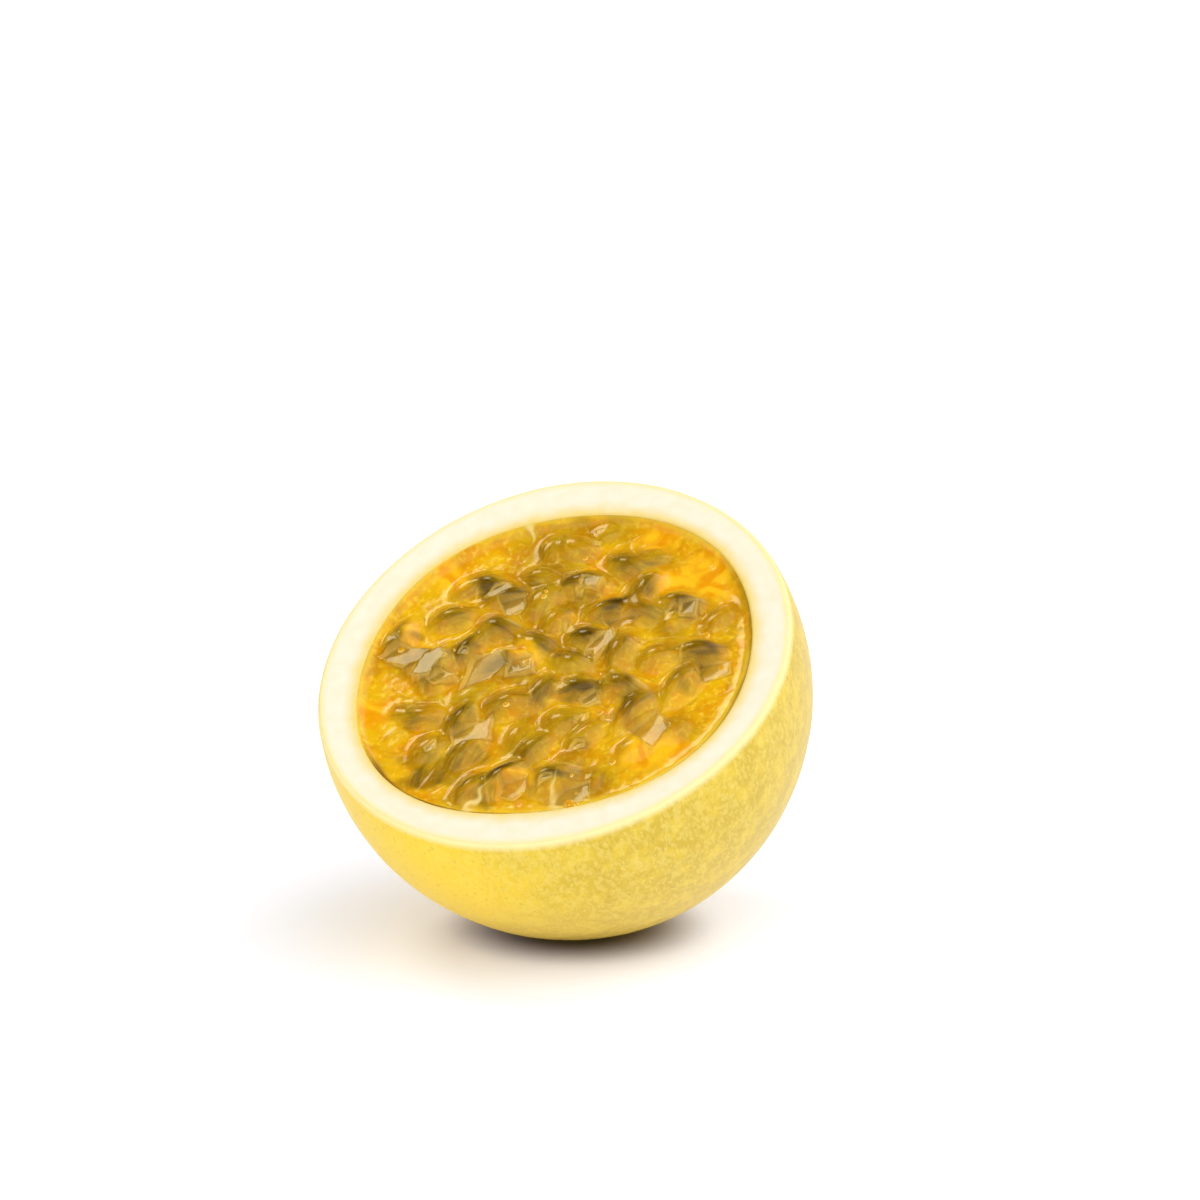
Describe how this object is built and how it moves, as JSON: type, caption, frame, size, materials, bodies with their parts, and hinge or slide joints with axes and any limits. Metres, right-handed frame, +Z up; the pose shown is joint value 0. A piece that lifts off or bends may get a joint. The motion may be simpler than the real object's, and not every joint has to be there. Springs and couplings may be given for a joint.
{
  "type": "half passion fruit",
  "caption": "Half of a yellow passion fruit lying on its rounded side, cut face tipped up, with a thick rind round jelly-like pulp and seeds.",
  "frame": {"origin": "middle of the small flat spot on the rounded side that the half rests on", "axes": "+Z up; the cut face looks up and tips 35 degrees towards -Y; +X runs along the level line of the cut"},
  "size_m": [0.0695, 0.0664, 0.0607],
  "materials": {
    "rind": "satin",
    "pulp": "gloss"
  },
  "bodies": {
    "root": {"rind": "rind", "pulp": "pulp"}
  },
  "joints": []
}
